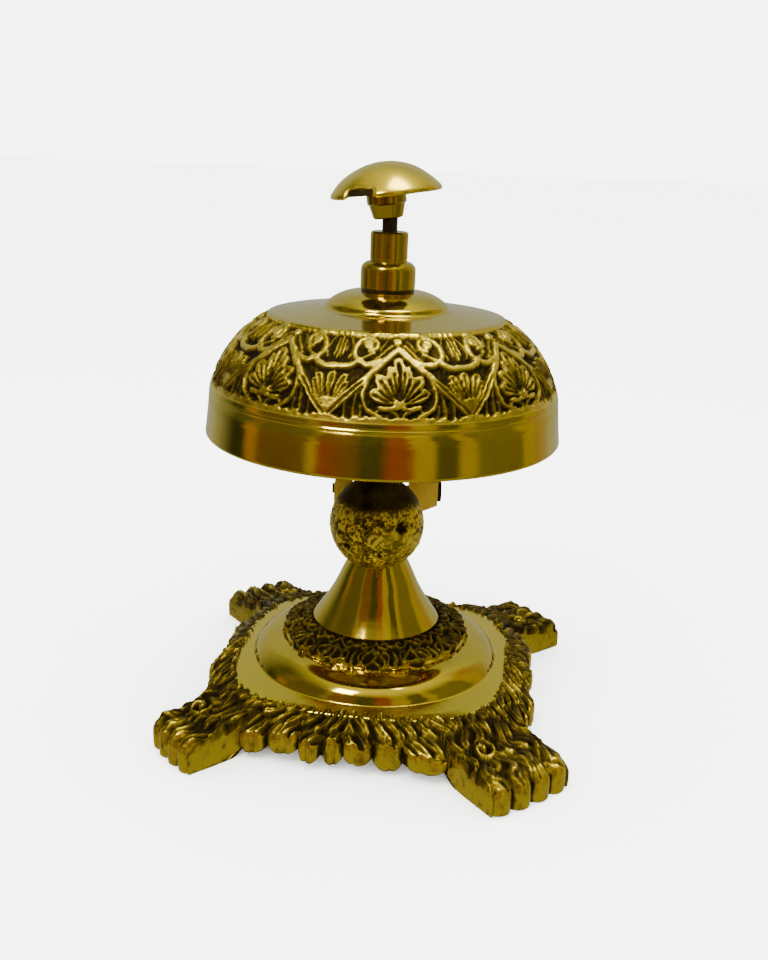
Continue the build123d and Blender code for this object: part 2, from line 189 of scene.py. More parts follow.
def leaves(across, along, seed):
    """Overlapping pointed leaves, 0..1; across counts leaf widths, along leaf lengths toward the tips."""
    best = np.zeros_like(across)
    for back in (0, 1):
        row = np.floor(along) - back
        shift = 0.5 * (row % 2)
        centre = np.floor(across - shift) + 0.5 + shift
        chance = hash_noise((2 * centre).astype(np.int64), row.astype(np.int64), 0, seed)
        t = (along - row) / (1.15 + 0.55 * chance)
        dx = across - centre - 0.5 * (chance - 0.5) * t
        half = 0.5 * np.sin(np.pi * np.clip(0.2 + 0.8 * t, 0, 1)) ** 0.5
        body = np.sqrt(np.clip(1 - (dx / np.maximum(half, 1e-3)) ** 2, 0, 1))
        fold = 1 - 0.38 * np.exp(-((dx + 0.06) / 0.10) ** 2)
        best = np.maximum(best, np.where((t < 0) | (t > 1), 0, body * fold * (0.42 + 0.58 * t)))
    return best


# ---- dome frieze --------------------------------------------------------------------------------
FRIEZE_SCALE = 0.75                 # millimetres of drawing to one degree round the dome
HALF_UNIT = FRIEZE_SCALE * 180 / DOME_REPEATS
DOME_COLS = 780
RELIEF = 1.4                        # depth from the ridges to the floor of the frieze


def petals(angle, lobes):
    """Radius of a lobed leaf edge: lobes are (degrees, radius) from the leaf's axis outwards."""
    knots = np.array(lobes, float)
    return np.interp(np.degrees(np.abs(angle)), knots[:, 0], knots[:, 1])


def frieze(x, v):
    """Height 0..1 of one arch of the frieze; x is across from its middle, v up from the band."""
    x = np.abs(x)
    e = HALF_UNIT - x
    h = 0.06 * np.ones_like(x)
    # arch: broad ridge that splits into a long foot and an inner horseshoe
    arch = spline([(0, 21.7), (1.9, 19.7), (4.1, 17.4), (6.2, 14.8)])
    foot = spline([(6.0, 15.2), (9.0, 11.8), (12.4, 7.8), (16.3, 3.2)])
    shoe = spline([(6.4, 14.6), (8.0, 11.6), (8.6, 8.3), (7.7, 5.2), (5.6, 3.4), (4.2, 3.0)])
    h = np.maximum(h, ridge(x, v, arch, 1.3))
    h = np.maximum(h, 0.97 * ridge(x, v, foot, 1.15) - 0.5 * ridge(x, v, foot, 0.34, 0.5) * smooth(12.5, 10.5, v))
    h = np.maximum(h, 0.86 * ridge(x, v, shoe, 0.62))
    for path, half in (([(9.4, 10.6), (10.3, 7.0), (10.5, 2.6)], 0.5), ([(12.5, 6.6), (12.6, 2.6)], 0.42),
                       ([(8.9, 5.4), (8.7, 2.6)], 0.4)):
        h = np.maximum(h, 0.6 * ridge(x, v, path, half))
    # scalloped wave that carries the scrolls
    wave = spline([(4.6, 17.6), (7.2, 16.5), (9.2, 16.5), (10.8, 17.6), (11.9, 16.5), (14.2, 15.6),
                   (HALF_UNIT + 1, 15.5)])
    h = np.maximum(h, 0.98 * ridge(x, v, wave, 1.2))
    # C-scroll with a round eye
    scroll = spline([(11.3, 17.6), (12.2, 19.4), (12.2, 22.0), (11.0, 24.3), (9.0, 25.3), (7.0, 24.8),
                     (6.0, 23.2), (6.6, 21.5), (8.2, 20.9)])
    h = np.maximum(h, 0.92 * ridge(x, v, scroll, 1.0))
    h = np.maximum(h, 0.97 * disc(x, v, 8.8, 23.0, 1.75))
    h = np.maximum(h, 0.80 * ridge(x, v, spline([(10.6, 18.0), (8.6, 18.9), (7.0, 20.0)]), 0.7))
    h = np.maximum(h, 0.75 * ridge(x, v, spline([(1.7, 23.0), (3.4, 21.3), (4.9, 19.4), (6.2, 18.2)]), 0.62))
    h = np.maximum(h, 0.62 * ridge(x, v, spline([(3.1, 24.6), (4.3, 22.8), (5.0, 21.4)]), 0.5))
    # flame between two scrolls
    flame_half = 2.3 * np.sin(np.pi * np.clip((v - 17.4) / 8.6, 0, 1)) ** 0.7 + 1e-3
    flame = (1 - smooth(flame_half - 0.35, flame_half + 0.15, e)) * (v > 17.4) * (v < 26.0)
    veins = 0.5 + 0.5 * np.cos(e * 2 * np.pi / 1.15)
    h = np.maximum(h, (0.35 + 0.55 * veins) * flame)
    side = spline([(HALF_UNIT - 3.0, 18.2), (HALF_UNIT - 3.7, 21.0), (HALF_UNIT - 3.1, 24.0),
                   (HALF_UNIT - 1.8, 25.8)])
    h = np.maximum(h, 0.7 * ridge(x, v, side, 0.42))
    # boss above the arch
    h = np.maximum(h, 1.0 * disc(x, v, 0, 24.2, 1.45))
    # palmette inside the arch: a lobed leaf with veins that spread from its foot
    angle, reach = np.arctan2(x, v - 5.6), np.hypot(x, v - 5.6)
    edge = petals(angle, [(0, 13.8), (6, 13.0), (9, 11.0), (15, 11.6), (21, 9.4), (24, 8.6), (31, 10.0), (38, 10.1),
                          (45, 9.2), (50, 7.4), (57, 8.2), (66, 8.3), (73, 7.0), (82, 4.4), (92, 5.4), (104, 4.6),
                          (118, 2.0), (180, 1.0)])
    leaf = 1 - smooth(edge - 0.55, edge + 0.05, reach)
    for degrees, start, stop in ((0, 1.5, 11.2), (9, 2.6, 8.6), (21, 2.0, 7.2), (36, 2.6, 7.9), (50, 2.0, 6.0),
                                 (65, 2.6, 6.6), (82, 1.8, 4.4)):
        turn = math.radians(degrees)
        ray = [(start * math.sin(turn), 5.6 + start * math.cos(turn)),
               (stop * math.sin(turn), 5.6 + stop * math.cos(turn))]
        leaf -= (0.95 if degrees in (0, 21, 50, 82) else 0.6) * ridge(x, v, ray, 0.42 if degrees == 0 else 0.28, 0.6)
    h = np.maximum(h, 0.88 * np.clip(leaf, 0, 1))
    curl = spline([(0.4, 2.6), (1.3, 4.0), (2.9, 4.9), (4.5, 4.7), (5.0, 3.9)])
    h = np.maximum(h, 0.70 * ridge(x, v, curl, 0.45))
    # three-petalled leaf that hangs between two arches
    angle, reach = np.arctan2(np.abs(e), v - 4.6), np.hypot(e, v - 4.6)
    edge = petals(angle, [(0, 10.0), (7, 9.6), (10, 8.0), (13, 7.4), (16, 9.2), (21, 10.0), (28, 10.1), (31, 8.4),
                          (35, 8.8), (40, 7.4), (45, 3.6), (60, 1.5), (180, 0.7)])
    leaf = 1 - smooth(edge - 0.5, edge + 0.05, reach)
    for degrees, stop in ((0, 8.6), (12, 7.4), (24, 8.6), (34, 7.2)):
        turn = math.radians(degrees)
        ray = [(3.0 * math.sin(turn), 4.6 + 3.0 * math.cos(turn)), (stop * math.sin(turn), 4.6 + stop * math.cos(turn))]
        leaf -= (0.9 if degrees == 12 else 0.4) * ridge(e, v, ray, 0.26, 0.6)
    h = np.maximum(h, 0.84 * np.clip(leaf, 0, 1))
    # plain border below, cut by the darts
    border = 1 - smooth(2.7, 3.1, v)
    for cx, cy, half in ((8.6, 2.9, 0.75), (11.5, 2.9, 1.0), (13.4, 3.0, 0.8), (6.6, 3.0, 0.5), (2.2, 3.0, 0.6)):
        border -= disc(x, v, cx, cy, half, 0.25)
    h = np.maximum(h, 0.9 * np.clip(border, 0, 1))
    # small leaves that fill the ground
    h = np.maximum(h, 0.36 * leaves(x / 1.25, v / 2.1, 12))
    # smooth collar above
    return np.maximum(h, smooth(25.7, 26.3, v))


def dome_profile():
    """Outer outline from the stem hole to the rim, in parts, so that the frieze gets its own rows."""
    top = np.vstack([resample([(5.0, DOME_TOP), (8.6, DOME_TOP)], 3)[0][:-1],
                     bezier((8.6, DOME_TOP), (11.2, DOME_TOP - 0.3), (13.8, DOME_TOP - 1.0),
                            (BOSS[0] - 0.5, BOSS[1] + 0.5), 7)[:-1],
                     bezier((BOSS[0] - 0.5, BOSS[1] + 0.5), (BOSS[0], BOSS[1] + 0.2), (BOSS[0] + 0.1, BOSS[1]),
                            (BOSS[0] + 0.2, BOSS[1] - 0.9), 5)[:-1],
                     resample([(BOSS[0] + 0.35, BOSS[1] - 1.0), (SHOULDER[0] - 0.6, SHOULDER[1] + 0.3)], 9)[0]])
    shoulder = bezier(SHOULDER, (41.6, 111.4), (47.6, 103.2), BAND_TOP, 60)
    shoulder, along = resample(shoulder, 82)
    rise = along[-1] - along
    band = np.array([(48.75, 95.9), (48.5, 95.7), (48.5, 95.45), (48.85, 95.3), (48.9, 94.9), (48.6, 94.7),
                     (48.62, 94.5), (48.92, 94.3), (49.2, 91.0), (49.6, 87.0), (49.95, 84.0), (50.0, 83.3),
                     (49.8, RIM_Z)])
    return top, shoulder, rise, band


def build_dome():
    """Bell dome: turned crown, cast frieze, polished band and the inside wall."""
    cols = DOME_COLS
    top, shoulder, rise, band = dome_profile()
    inner = np.array([(48.0, RIM_Z), (47.6, 83.3), (46.9, 90.0), (46.3, 96.0), (45.2, 100.0), (42.6, 105.4),
                      (38.0, 110.4), (32.4, 113.5), (24.0, 115.2), (17.2, 116.0), (11.0, 120.0), (5.0, 120.0)])
    outline = np.vstack([top, shoulder, band, inner])
    out = outward(outline)
    angle = np.arange(cols) / cols * 2 * math.pi
    a, row = np.meshgrid(angle, np.arange(len(outline)))
    lift = np.zeros_like(a)
    value = np.full_like(a, 1.3)
    # frieze rows
    lo, hi = len(top), len(top) + len(shoulder)
    deg = np.degrees(a[lo:hi] - DOME_TURN)
    unit = 360 / DOME_REPEATS
    v = np.repeat(rise[:, None], cols, 1)
    rx, ry, rz = np.cos(a[lo:hi]) * 14, np.sin(a[lo:hi]) * 14, v * 0.28
    x = ((deg + unit / 2) % unit - unit / 2) * FRIEZE_SCALE
    x = x + 0.24 * noise(rx, ry, rz, 3) + 0.16 * noise(rx * 2.6, ry * 2.6, v * 0.8, 5)
    vv = v + 0.24 * noise(rx, ry, rz + 9, 4) + 0.20 * noise(rx * 2.6, ry * 2.6, v * 0.8 + 7, 6)
    h = frieze(x, vv)
    grain = fractal(np.cos(a[lo:hi]) * 70, np.sin(a[lo:hi]) * 70, v * 1.5, 3, 11)
    h = h + (0.10 + 0.12 * (1 - h)) * grain * smooth(0.6, 2.4, v) * smooth(26.4, 25.6, v)
    lift[lo:hi] = (h - 1) * RELIEF * smooth(0.7, 1.4, v)
    carved = smooth(0.7, 1.4, v) * smooth(26.2, 25.8, v)
    # painted shade: the frieze colour is darkened round one side of the dome, as if less light fell there
    shaded = 0.20 * np.cos(a[lo:hi] + 0.9) ** 3 * (np.cos(a[lo:hi] + 0.9) < 0)
    value[lo:hi] = 1.3 + (h + shaded - 1.3) * carved
    r = outline[row, 0] + out[row, 0] * lift
    z = outline[row, 1] + out[row, 1] * lift
    ang = a - math.pi / 2
    points = np.stack([r * np.cos(ang), r * np.sin(ang), z], -1)
    return loop_mesh("bell_dome", points, value, "stand", "bell_brass", "dome")


# ---- base ---------------------------------------------------------------------------------------
FEET = ((-54.0, 72.6, 13.0, 12.2), (39.2, 72.4, 11.0, 9.4), (126.0, 74.0, 11.4, 10.4), (-141.8, 70.6, 9.8, 8.6))
LOBES = 7                           # leaf lobes along the skirt between two feet
LOBE_LOW = (3.4, 2.4, 1.9, 3.3, 1.8, 3.0, 2.2)
LOBE_OUT = (0.0, 1.1, -0.5, 0.6, -0.9, 1.2, 0.3)
BORDER_R = 41.2                     # mean radius where the shelf ends and the leaf border starts
SHELF_HALF = 40.8                   # from the middle to the straight sides of the shelf
NECK_R = 54.2                       # where the skirt runs into the feet
SKIRT_R = 47.8                      # reach of the skirt at the middle of a side
SKIRT_FLARE = 0.0066                # how the skirt grows with the square of the degrees from there
SAUCER_COLS = 720
ROSETTE_UNITS = 13
ROSETTE_R = 23.4


def shelf_edge(a):
    """Radius of the shelf toward angle a: a square with round corners that point at the feet."""
    corners = np.radians(sorted(foot[0] for foot in FEET))
    corners = np.r_[corners, corners[0] + 2 * math.pi]
    a = corners[0] + (a - corners[0]) % (2 * math.pi)
    turn = (np.interp(a, corners, np.arange(5)) % 1 - 0.5) * math.pi / 2
    return SHELF_HALF / (np.abs(np.cos(turn)) ** 3 + np.abs(np.sin(turn)) ** 3) ** (1 / 3)


def rosette(a, r):
    """Height 0..1 of the leafy ring at the foot of the cone."""
    width = 2 * math.pi * ROSETTE_R / ROSETTE_UNITS
    arc = a * ROSETTE_R
    x = (arc + width / 2) % width - width / 2
    w = r - 18.75
    nx, ny = np.cos(a) * r / 2.2, np.sin(a) * r / 2.2
    x = x + 0.75 * noise(nx, ny, 0 * r, 21)
    w = w + 0.55 * noise(nx, ny, 0 * r + 5, 22)
    e = width / 2 - np.abs(x)
    x = np.abs(x)
    h = 0.1 * np.ones_like(x)
    for path, half, top in (
            (spline([(0.3, 0.4), (1.7, 2.2), (3.4, 3.0), (4.6, 1.9), (3.9, 0.8), (2.9, 1.3)]), 0.5, 0.9),
            (spline([(0.0, 3.0), (0.0, 7.6)]), 0.55, 0.95),
            (spline([(0.3, 3.6), (1.7, 5.0), (3.0, 7.2)]), 0.5, 0.9),
            (spline([(0.6, 7.8), (1.8, 8.4), (3.0, 7.8), (4.0, 8.3)]), 0.45, 1.0),
            (spline([(3.9, 7.6), (4.2, 5.8), (3.4, 4.4), (2.2, 4.0)]), 0.42, 0.85)):
        h = np.maximum(h, top * ridge(x, w, path, half))
    h = np.maximum(h, 0.9 * ridge(e, w, [(0.0, 4.2), (0.1, 8.0)], 0.42))
    h = np.maximum(h, 0.9 * disc(e, w, 0.2, 2.0, 0.8))
    return h + 0.22 * fractal(nx * 5, ny * 5, 0 * r + 2, 3, 25)


def build_saucer():
    """Leafy ring, polished bulge and square shelf of the base, with the boss under them."""
    cols = SAUCER_COLS
    ring = resample([(18.9, 25.0), (26.4, 22.3), (27.9, 21.4)], 34)[0]
    bulge = bezier((28.3, 20.6), (31.6, 20.2), (35.2, 18.2), (36.3, 14.9), 18)
    outline = np.vstack([[(3.4, 25.2), (18.5, 25.2)], ring, bulge, [(36.5, 14.6), (37.0, 14.45), (39.0, 14.15),
                         (40.8, 13.95), (41.5, 13.6), (41.6, 13.0), (41.6, 11.2), (40.9, 10.6), (34.0, 11.4),
                         (27.4, 17.4), (18.0, 21.0), (9.6, 21.4), (9.5, 21.0), (9.5, 10.1), (9.3, 10.0),
                         (3.6, 10.0), (3.4, 10.3)]])
    out = outward(outline)
    a, row = np.meshgrid(np.arange(cols) / cols * 2 * math.pi, np.arange(len(outline)))
    r, z = outline[row, 0], outline[row, 1]
    value = np.full_like(a, 1.3)
    lo, hi = 2, 2 + len(ring)
    leafy = rosette(a[lo:hi], r[lo:hi])
    scallop = 27.1 + 0.45 * np.cos(a[lo:hi] * 26) + 0.55 * np.cos(a[lo:hi] * 13)
    scallop = scallop + 0.7 * noise(np.cos(a[lo:hi]) * 9, np.sin(a[lo:hi]) * 9, 0, 31)
    over = smooth(scallop + 0.25, scallop - 0.25, r[lo:hi])
    lift = np.zeros_like(a)
    lift[lo:hi] = over * (leafy * 1.5 - 0.35) - (1 - over) * 0.75
    value[lo:hi] = np.where(over > 0.5, 0.08 + 0.55 * leafy, 1.3)
    value[:lo] = 0.4
    value[hi + 18:hi + 24] = 1.10
    r = r + (shelf_edge(a - math.pi / 2) - BORDER_R) * smooth(36.8, 40.8, r)
    r, z = r + out[row, 0] * lift, z + out[row, 1] * lift
    a = a - math.pi / 2
    points = np.stack([r * np.cos(a), r * np.sin(a), z], -1)
    return loop_mesh("base_saucer", points, value, "stand", "cast_brass", "base_casting")


def border_outline():
    """Columns round the leaf border and feet: outer point, inner angle, lobe or toe place, kind."""
    out, inner, place, low, is_foot = [], [], [], [], []
    for k, (direction, reach, half, neck) in enumerate(FEET):
        turn = math.radians(direction)
        along = np.array([math.cos(turn), math.sin(turn)])
        left = np.array([-along[1], along[0]])
        start = math.sqrt(NECK_R ** 2 - neck ** 2) - 0.6
        u = np.linspace(start, reach - 1.6, 34)
        v = np.interp(u, [46, 62, 80], [neck, half, half + 0.3])
        toe = np.linspace(-1, 1, 93)[1:-1]
        spot = (toe * 2 % 1) * 2 - 1
        tip_u = reach - 2.1 * np.abs(spot) ** 2.4 - 1.3 * np.abs(toe) ** 3
        tip_v = toe * (half + 0.2)
        uu = np.r_[u, tip_u, u[::-1]]
        vv = np.r_[-v, tip_v, v[::-1]]
        out.append(uu[:, None] * along + vv[:, None] * left)
        grip = math.degrees(math.asin(neck / BORDER_R))
        side = np.linspace(-grip, -0.62 * grip, len(u))
        inner.append(direction + np.r_[side, toe * 0.6 * grip, -side[::-1]])
        place.append(np.r_[np.zeros(len(u)), spot, np.zeros(len(u))])
        low.append(np.r_[np.interp(u, [start, 57], [2.6, 0]), 0 * toe, np.interp(u[::-1], [start, 57], [2.6, 0])])
        is_foot.append(np.ones(len(uu)))
        # skirt to the next foot
        following = FEET[(k + 1) % len(FEET)]
        widths = 1 + 0.30 * RNG.uniform(-1, 1, LOBES)
        cuts = np.r_[0, np.cumsum(widths)] / widths.sum()
        a0 = direction + math.degrees(math.asin(neck / NECK_R)) + 0.4
        a1 = following[0] - math.degrees(math.asin(following[3] / NECK_R)) - 0.4
        a1 += 360 if a1 < a0 else 0
        middle = (a0 + a1) / 2
        angle = np.linspace(a0, a1, 24 * LOBES)[1:-1]
        share = (angle - a0) / (a1 - a0)
        number = np.clip(np.searchsorted(cuts, share) - 1, 0, LOBES - 1)
        spot = (share - cuts[number]) / (cuts[number + 1] - cuts[number]) * 2 - 1
        order = (number + 2 * k) % LOBES
        reach_here = SKIRT_R + SKIRT_FLARE * (angle - middle) ** 2 + np.array(LOBE_OUT)[order]
        side = np.where(order % 2 == 0, 0.18, -0.24)
        radius = reach_here - 1.8 * np.abs(spot) ** 2.6 - 0.8 * np.exp(-((spot - side) / 0.16) ** 2)
        rad = np.radians(angle)
        out.append(np.stack([radius * np.cos(rad), radius * np.sin(rad)], -1))
        b0, b1 = direction + grip, following[0] - math.degrees(math.asin(following[3] / BORDER_R))
        b1 += 360 if b1 < b0 else 0
        inner.append(np.interp(angle, [a0, a1], [b0, b1]))
        place.append(spot)
        low.append(np.array(LOBE_LOW)[order] + 2.1 * np.abs(spot) ** 2.6)
        is_foot.append(np.zeros(len(angle)))
    return [np.concatenate(part) for part in (out, inner, place, low, is_foot)]


def strands(x, y):
    """Leaf relief of the border and feet, 0..1, from the place in plan."""
    r, a = np.hypot(x, y), np.arctan2(y, x)
    w = r - shelf_edge(a)
    best_u, best_v, best_half = np.zeros_like(r), np.full_like(r, 99.0), np.ones_like(r)
    for direction, _, half, _ in FEET:
        turn = math.radians(direction)
        u = x * math.cos(turn) + y * math.sin(turn)
        v = -x * math.sin(turn) + y * math.cos(turn)
        nearer = (u > 0) & (np.abs(v) < np.abs(best_v))
        best_u, best_v = np.where(nearer, u, best_u), np.where(nearer, v, best_v)
        best_half = np.where(nearer, half, best_half)
    warp, fine = noise(x / 5.2, y / 5.2, 0 * x, 41), noise(x / 1.9, y / 1.9, 0 * x, 42)
    # leaves on the skirt that sweep away from the middle of each side
    sweep = np.sign(best_v) * smooth(0, 14, np.abs(best_v)) * np.clip(w, 0, 11) * 0.75
    skirt = leaves((a * 46 + sweep) / 3.9 + 0.36 * warp, w / 5.2 + 0.25 * warp + 0.4, 45)
    # long wavy hair along the feet, with a curl on each side
    wave = 0.5 * np.sin(best_u * 0.45 + np.abs(best_v) * 0.3)
    hair = leaves(best_v / 3.3 + 0.5 + wave + 0.3 * warp, best_u / 6.0 + 0.3 * warp, 46)
    curl_u, curl_v = best_u - 57.5, best_v + 0.42 * best_half
    curl = np.hypot(curl_u, curl_v)
    swirl = 0.5 + 0.5 * np.cos(2 * np.pi * curl / 2.6 - np.arctan2(curl_v, curl_u))
    hair = hair + smooth(4.0, 3.0, curl) * (swirl - hair)
    skirt, hair = skirt + 0.08 * fine, hair + 0.08 * fine
    on_foot = smooth(best_half + 1.0, best_half - 1.5, np.abs(best_v)) * smooth(47, 51, best_u)
    return skirt * (1 - on_foot) + hair * on_foot, on_foot, best_u, best_v, best_half


def build_border():
    """Leaf border, lobed skirt and the four paw feet, open underneath."""
    out, inner, place, low, is_foot = border_outline()
    rad = np.radians(inner)
    edge_r = shelf_edge(rad)
    start = np.stack([edge_r * np.cos(rad), edge_r * np.sin(rad)], -1)
    tips = edge_r - 0.7 - 1.0 * np.abs(np.sin(rad * 44 + 1.2 * noise(np.cos(rad) * 7, np.sin(rad) * 7, 0 * rad, 47)))
    inside = np.stack([tips * np.cos(rad), tips * np.sin(rad)], -1)
    rows, values = [], []
    steps = np.r_[np.linspace(0, 0.88, 36), np.linspace(0.90, 0.985, 6)]
    for t in steps:
        p = inside + (out - inside) * t
        h, on_foot, u, v, half = strands(p[:, 0], p[:, 1])
        h = h + 0.12 * fractal(p[:, 0] / 0.9, p[:, 1] / 0.9, 0 * h, 3, 44)
        r = np.hypot(p[:, 0], p[:, 1])
        r = r - (edge_r - BORDER_R) * smooth(60, 48, r)
        z = np.interp(r, [39, 41.2, 48, 56, 64, 80], [14.0, 13.8, 12.0, 9.8, 8.2, 7.0])
        # toes swell towards the front and round over it
        front = smooth(58.0, 66.0, u) * on_foot
        toe = (v / (half + 0.2) * 2 % 1) * 2 - 1
        swell = 1.9 * (1 - np.abs(toe) ** 2.2)
        z = z + front * (swell - 0.4)
        edge = smooth(0.86, 1.0, np.full_like(h, t))
        fade_in = smooth(0.0, 0.05, np.full_like(h, t))
        relief = (2.7 * (h - 0.45) * (1 - 0.45 * front) + 0.3) * fade_in - 1.2 * (1 - fade_in)
        z = z - (1 - is_foot) * 3.4 * t ** 1.4
        lobe_rim = (1 - is_foot) * edge * (0.9 * (1 - place ** 2) - 0.5)
        round_over = is_foot * edge ** 2 * 1.8
        z = z + relief * (1 - 0.5 * edge) + lobe_rim - round_over
        rows.append(np.stack([p[:, 0], p[:, 1], z], -1))
        values.append(np.clip(1.25 * h - 0.2 - 0.12 * on_foot + 0.30 * edge + 0.22 * front * (1 - np.abs(toe) ** 3),
                              0, 1.05))
    # outer wall, filed flat
    top = rows[-1][:, 2]
    gap = (1 - is_foot) * smooth(0.78, 0.98, np.abs(place))
    notch = is_foot * smooth(0.75, 1.0, np.abs(place))
    for t in np.linspace(0.0, 1.0, 15):
        z = (top - 0.35) * (1 - t) + low * t
        grow = 0.10 * np.sin(math.pi * t) + 0.35 * smooth(0.0, 0.12, t) - 0.45 * smooth(0.94, 1.0, t)
        dent = 0.12 * noise(out[:, 0] / 2.4, out[:, 1] / 2.4, z / 2.4, 51)
        scale = 1 + (grow + dent - 0.3) / np.hypot(out[:, 0], out[:, 1])
        rows.append(np.column_stack([out * scale[:, None], z]))
        chip = 0.25 * noise(out[:, 0] / 1.2, out[:, 1] / 1.2, z / 1.6, 52)
        values.append(np.clip(0.95 + chip - 0.95 * gap - 0.85 * notch - 0.25 * smooth(0.9, 1, t), 0, 1.12))
    # underside and inner wall
    for t in np.linspace(0.02, 1.0, 10):
        p = out + (start - out) * t
        z = low + (10.2 - low) * smooth(0.15, 0.85, t)
        rows.append(np.column_stack([p, z]))
        values.append(np.full(len(out), 0.35))
    for z in (11.0, 12.0, 12.6):
        rows.append(np.column_stack([start, np.full(len(out), z)]))
        values.append(np.full(len(out), 0.35))
    return loop_mesh("base_border", np.array(rows), np.array(values), "stand", "cast_brass", "base_casting")


# ---- knob ---------------------------------------------------------------------------------------
KNOB_LEAN = 7.5
KNOB_FOOT = (-0.5, 0.0, 142.2)
CAP_R = 15.1
CAP_TOP = 14.8
CAP_ARC_R = 18.8


def build_cap():
    """Mushroom cap, worn and a little dented, with a shallow bite in its lower edge painted near black as a shadow, and
    its underside painted dark as shade.
    """
    cols = 240
    fall = np.linspace(0.02, CAP_R - 0.25, 44)
    crown = np.stack([fall, CAP_TOP - CAP_ARC_R + np.sqrt(CAP_ARC_R ** 2 - fall ** 2)], -1)
    edge = np.array([(CAP_R - 0.02, 7.1), (CAP_R, 6.8), (CAP_R - 0.05, 6.5), (CAP_R - 0.35, 6.25)])
    under = bezier((CAP_R - 0.7, 6.35), (12.6, 7.1), (9.8, 7.3), (6.4, 6.75), 12)
    outline = np.vstack([crown, edge, under, [(4.0, 6.7), (0.02, 6.7)]])
    out = outward(outline)
    a, row = np.meshgrid(np.arange(cols) / cols * 2 * math.pi, np.arange(len(outline)))
    r, z = outline[row, 0], outline[row, 1]
    dent = 0.10 * noise(np.cos(a) * r / 4, np.sin(a) * r / 4, 0 * r, 71) * smooth(0, 4, r)
    # painted shadow: at the front left the lower edge is pushed in a little and painted near black, standing in for the
    # shadow under the lip
    painted_shadow_bite_from, painted_shadow_bite_to = math.radians(-138), math.radians(-99)
    turn = (a + math.pi) % (2 * math.pi) - math.pi
    painted_shadow_bite = smooth(painted_shadow_bite_from, painted_shadow_bite_from + 0.10, turn) * smooth(painted_shadow_bite_to, painted_shadow_bite_to - 0.12, turn)
    low_edge = 8.5 + 0.6 * np.sin((turn - painted_shadow_bite_from) / (painted_shadow_bite_to - painted_shadow_bite_from) * math.pi)
    painted_shadow_bite = painted_shadow_bite * smooth(low_edge + 0.25, low_edge - 0.15, z) * (r > 9)
    r = r + out[row, 0] * (dent - 0.7 * painted_shadow_bite)
    z = z + out[row, 1] * (dent - 0.7 * painted_shadow_bite)
    # painted shade: near black in the bite and dark over the underside
    value = 1.3 - 1.25 * painted_shadow_bite - 0.9 * (row > len(crown) + 3)
    x, y = r * np.cos(a), r * np.sin(a)
    lean = math.radians(-KNOB_LEAN)
    xx = x * math.cos(lean) + z * math.sin(lean) + KNOB_FOOT[0]
    zz = -x * math.sin(lean) + z * math.cos(lean) + KNOB_FOOT[2]
    return loop_mesh("push_cap", np.stack([xx, y, zz], -1), value, "plunger", "polished_brass", "knob_cap")


# ---- hammer ball --------------------------------------------------------------------------------
BALL = (-0.6, -20.0, 62.2)
BALL_R = 13.0


def build_ball():
    """Rough cast ball: pitted skin, two deep pits and a worn top."""
    mesh = bpy.data.meshes.new("ball_shape")
    grid = bmesh.new()
    bmesh.ops.create_icosphere(grid, subdivisions=7, radius=1.0)
    grid.to_mesh(mesh)
    grid.free()
    unit = np.empty(len(mesh.vertices) * 3, np.float32)
    mesh.vertices.foreach_get("co", unit)
    unit = unit.reshape(-1, 3).astype(float)
    faces = np.empty(len(mesh.loops), np.int32)
    mesh.loops.foreach_get("vertex_index", faces)
    bpy.data.meshes.remove(mesh)
    x, y, z = unit.T
    lumps = fractal(x * 3.1, y * 3.1, z * 3.1, 3, 61)
    skin = 1.15 * fractal(x * 22, y * 22, z * 22, 3, 62) * (0.75 + 0.6 * noise(x * 3, y * 3, z * 3, 64))
    rough = smooth(0.62, 0.42, z + 0.12 * lumps)
    pits = np.zeros_like(x)
    for place, size in (((0.52, -0.82, 0.18), 0.17), ((-0.60, -0.72, -0.30), 0.09), ((0.1, -0.9, -0.45), 0.05)):
        place = np.array(place) / np.linalg.norm(place)
        pits = np.maximum(pits, 1 - smooth(0.4 * size, size, np.linalg.norm(unit - place, axis=1)))
    lift = 0.16 * lumps + (0.05 + 0.22 * rough) * skin - 1.1 * pits
    points = unit * (BALL_R - 0.12 + lift)[:, None] + np.array(BALL)
    # the colour is darker over the smooth top and along an upright streak down the front
    streak = np.exp(-((x + 0.22) / 0.12) ** 2) * (y < 0)
    value = np.clip(0.66 + 0.85 * skin * rough + 0.25 * lumps - 0.75 * pits - 0.46 * (1 - rough) - 0.25 * streak,
                    0, 1)
    return new_piece("ball_casting", points * MM, faces.reshape(-1, 3), value, "hammer", "rough_brass",
                     "hammer_ball")


